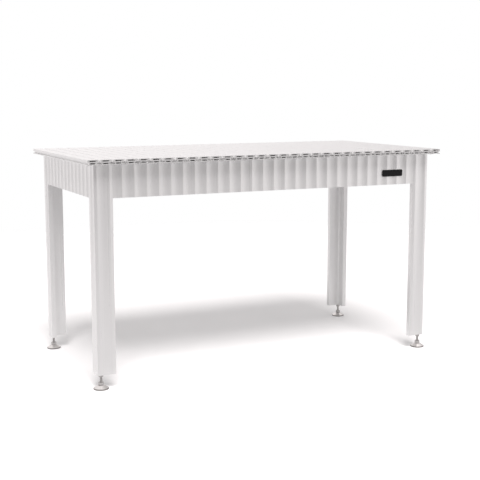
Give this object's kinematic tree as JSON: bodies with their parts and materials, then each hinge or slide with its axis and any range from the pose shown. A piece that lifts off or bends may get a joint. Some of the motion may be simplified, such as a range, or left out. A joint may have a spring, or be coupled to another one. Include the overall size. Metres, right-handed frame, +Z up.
{
  "type": "slotted work table",
  "caption": "Free-standing aluminium work table with a T-slotted plank top, fluted aprons, angle legs and screw-adjusted round levelling feet.",
  "frame": {"origin": "on the floor under the middle of the table", "axes": "+X along the long side to the right, +Y to the back, +Z up"},
  "size_m": [1.592, 0.8, 0.892],
  "materials": {
    "satin_anodised_aluminium": "satin",
    "zinc_plated_steel": "satin",
    "polished_steel": "polished",
    "black_anodised_plate": "satin"
  },
  "bodies": {
    "table": {"top_plank_1": "satin_anodised_aluminium", "top_plank_2": "satin_anodised_aluminium", "top_plank_3": "satin_anodised_aluminium", "top_plank_4": "satin_anodised_aluminium", "top_plank_5": "satin_anodised_aluminium", "front_apron": "satin_anodised_aluminium", "rear_apron": "satin_anodised_aluminium", "left_apron": "satin_anodised_aluminium", "right_apron": "satin_anodised_aluminium", "leg_front_left": "satin_anodised_aluminium", "leg_front_right": "satin_anodised_aluminium", "leg_rear_left": "satin_anodised_aluminium", "leg_rear_right": "satin_anodised_aluminium", "joining_plate_front_left": "zinc_plated_steel", "joining_plate_front_right": "zinc_plated_steel", "joining_plate_rear_right": "zinc_plated_steel", "joining_plate_rear_left": "zinc_plated_steel", "joining_plate_left_rear": "zinc_plated_steel", "joining_plate_left_front": "zinc_plated_steel", "joining_plate_right_front": "zinc_plated_steel", "joining_plate_right_rear": "zinc_plated_steel", "top_cleat_front_1": "zinc_plated_steel", "top_cleat_front_2": "zinc_plated_steel", "top_cleat_front_3": "zinc_plated_steel", "top_cleat_front_4": "zinc_plated_steel", "top_cleat_front_5": "zinc_plated_steel", "top_cleat_rear_1": "zinc_plated_steel", "top_cleat_rear_2": "zinc_plated_steel", "top_cleat_rear_3": "zinc_plated_steel", "top_cleat_rear_4": "zinc_plated_steel", "top_cleat_rear_5": "zinc_plated_steel", "frame_bolts": "zinc_plated_steel", "frame_slot_nuts": "zinc_plated_steel", "cleat_screws": "zinc_plated_steel", "badge_plate": "black_anodised_plate"},
    "pad_front_left": {"foot_pad_front_left": "polished_steel"},
    "spindle_front_left": {"foot_spindle_front_left": "zinc_plated_steel"},
    "washer_front_left": {"lock_washer_front_left": "zinc_plated_steel"},
    "nut_front_left": {"lock_nut_front_left": "zinc_plated_steel"},
    "pad_front_right": {"foot_pad_front_right": "polished_steel"},
    "spindle_front_right": {"foot_spindle_front_right": "zinc_plated_steel"},
    "washer_front_right": {"lock_washer_front_right": "zinc_plated_steel"},
    "nut_front_right": {"lock_nut_front_right": "zinc_plated_steel"},
    "pad_rear_left": {"foot_pad_rear_left": "polished_steel"},
    "spindle_rear_left": {"foot_spindle_rear_left": "zinc_plated_steel"},
    "washer_rear_left": {"lock_washer_rear_left": "zinc_plated_steel"},
    "nut_rear_left": {"lock_nut_rear_left": "zinc_plated_steel"},
    "pad_rear_right": {"foot_pad_rear_right": "polished_steel"},
    "spindle_rear_right": {"foot_spindle_rear_right": "zinc_plated_steel"},
    "washer_rear_right": {"lock_washer_rear_right": "zinc_plated_steel"},
    "nut_rear_right": {"lock_nut_rear_right": "zinc_plated_steel"}
  },
  "joints": [
    {"name": "foot_travel_front_left", "type": "slide", "parent": "table", "child": "pad_front_left", "axis": [0, 0, -1], "range_m": [-0.012, 0.025]},
    {"name": "spindle_turn_front_left", "type": "hinge", "parent": "pad_front_left", "child": "spindle_front_left", "pos_m": [-0.744, -0.343, 0.03], "axis": [0, 0, -1], "range_deg": [-2890, 6020]},
    {"name": "washer_travel_front_left", "type": "slide", "parent": "table", "child": "washer_front_left", "axis": [0, 0, -1], "range_m": [0, 0.0061]},
    {"name": "nut_turn_front_left", "type": "hinge", "parent": "washer_front_left", "child": "nut_front_left", "pos_m": [-0.744, -0.343, 0.051], "axis": [0, 0, -1], "range_deg": [0, 1440]},
    {"name": "foot_travel_front_right", "type": "slide", "parent": "table", "child": "pad_front_right", "axis": [0, 0, -1], "range_m": [-0.012, 0.025]},
    {"name": "spindle_turn_front_right", "type": "hinge", "parent": "pad_front_right", "child": "spindle_front_right", "pos_m": [0.744, -0.343, 0.03], "axis": [0, 0, -1], "range_deg": [-2890, 6020]},
    {"name": "washer_travel_front_right", "type": "slide", "parent": "table", "child": "washer_front_right", "axis": [0, 0, -1], "range_m": [0, 0.0061]},
    {"name": "nut_turn_front_right", "type": "hinge", "parent": "washer_front_right", "child": "nut_front_right", "pos_m": [0.744, -0.343, 0.051], "axis": [0, 0, -1], "range_deg": [0, 1440]},
    {"name": "foot_travel_rear_left", "type": "slide", "parent": "table", "child": "pad_rear_left", "axis": [0, 0, -1], "range_m": [-0.012, 0.025]},
    {"name": "spindle_turn_rear_left", "type": "hinge", "parent": "pad_rear_left", "child": "spindle_rear_left", "pos_m": [-0.744, 0.343, 0.03], "axis": [0, 0, -1], "range_deg": [-2890, 6020]},
    {"name": "washer_travel_rear_left", "type": "slide", "parent": "table", "child": "washer_rear_left", "axis": [0, 0, -1], "range_m": [0, 0.0061]},
    {"name": "nut_turn_rear_left", "type": "hinge", "parent": "washer_rear_left", "child": "nut_rear_left", "pos_m": [-0.744, 0.343, 0.051], "axis": [0, 0, -1], "range_deg": [0, 1440]},
    {"name": "foot_travel_rear_right", "type": "slide", "parent": "table", "child": "pad_rear_right", "axis": [0, 0, -1], "range_m": [-0.012, 0.025]},
    {"name": "spindle_turn_rear_right", "type": "hinge", "parent": "pad_rear_right", "child": "spindle_rear_right", "pos_m": [0.744, 0.343, 0.03], "axis": [0, 0, -1], "range_deg": [-2890, 6020]},
    {"name": "washer_travel_rear_right", "type": "slide", "parent": "table", "child": "washer_rear_right", "axis": [0, 0, -1], "range_m": [0, 0.0061]},
    {"name": "nut_turn_rear_right", "type": "hinge", "parent": "washer_rear_right", "child": "nut_rear_right", "pos_m": [0.744, 0.343, 0.051], "axis": [0, 0, -1], "range_deg": [0, 1440]}
  ],
  "couplings": [
    {"joint": "spindle_turn_front_left", "follows": "foot_travel_front_left", "rad_per_m": 4188.8},
    {"joint": "washer_travel_front_left", "follows": "nut_turn_front_left", "m_per_rad": 0.00023873},
    {"joint": "spindle_turn_front_right", "follows": "foot_travel_front_right", "rad_per_m": 4188.8},
    {"joint": "washer_travel_front_right", "follows": "nut_turn_front_right", "m_per_rad": 0.00023873},
    {"joint": "spindle_turn_rear_left", "follows": "foot_travel_rear_left", "rad_per_m": 4188.8},
    {"joint": "washer_travel_rear_left", "follows": "nut_turn_rear_left", "m_per_rad": 0.00023873},
    {"joint": "spindle_turn_rear_right", "follows": "foot_travel_rear_right", "rad_per_m": 4188.8},
    {"joint": "washer_travel_rear_right", "follows": "nut_turn_rear_right", "m_per_rad": 0.00023873}
  ]
}
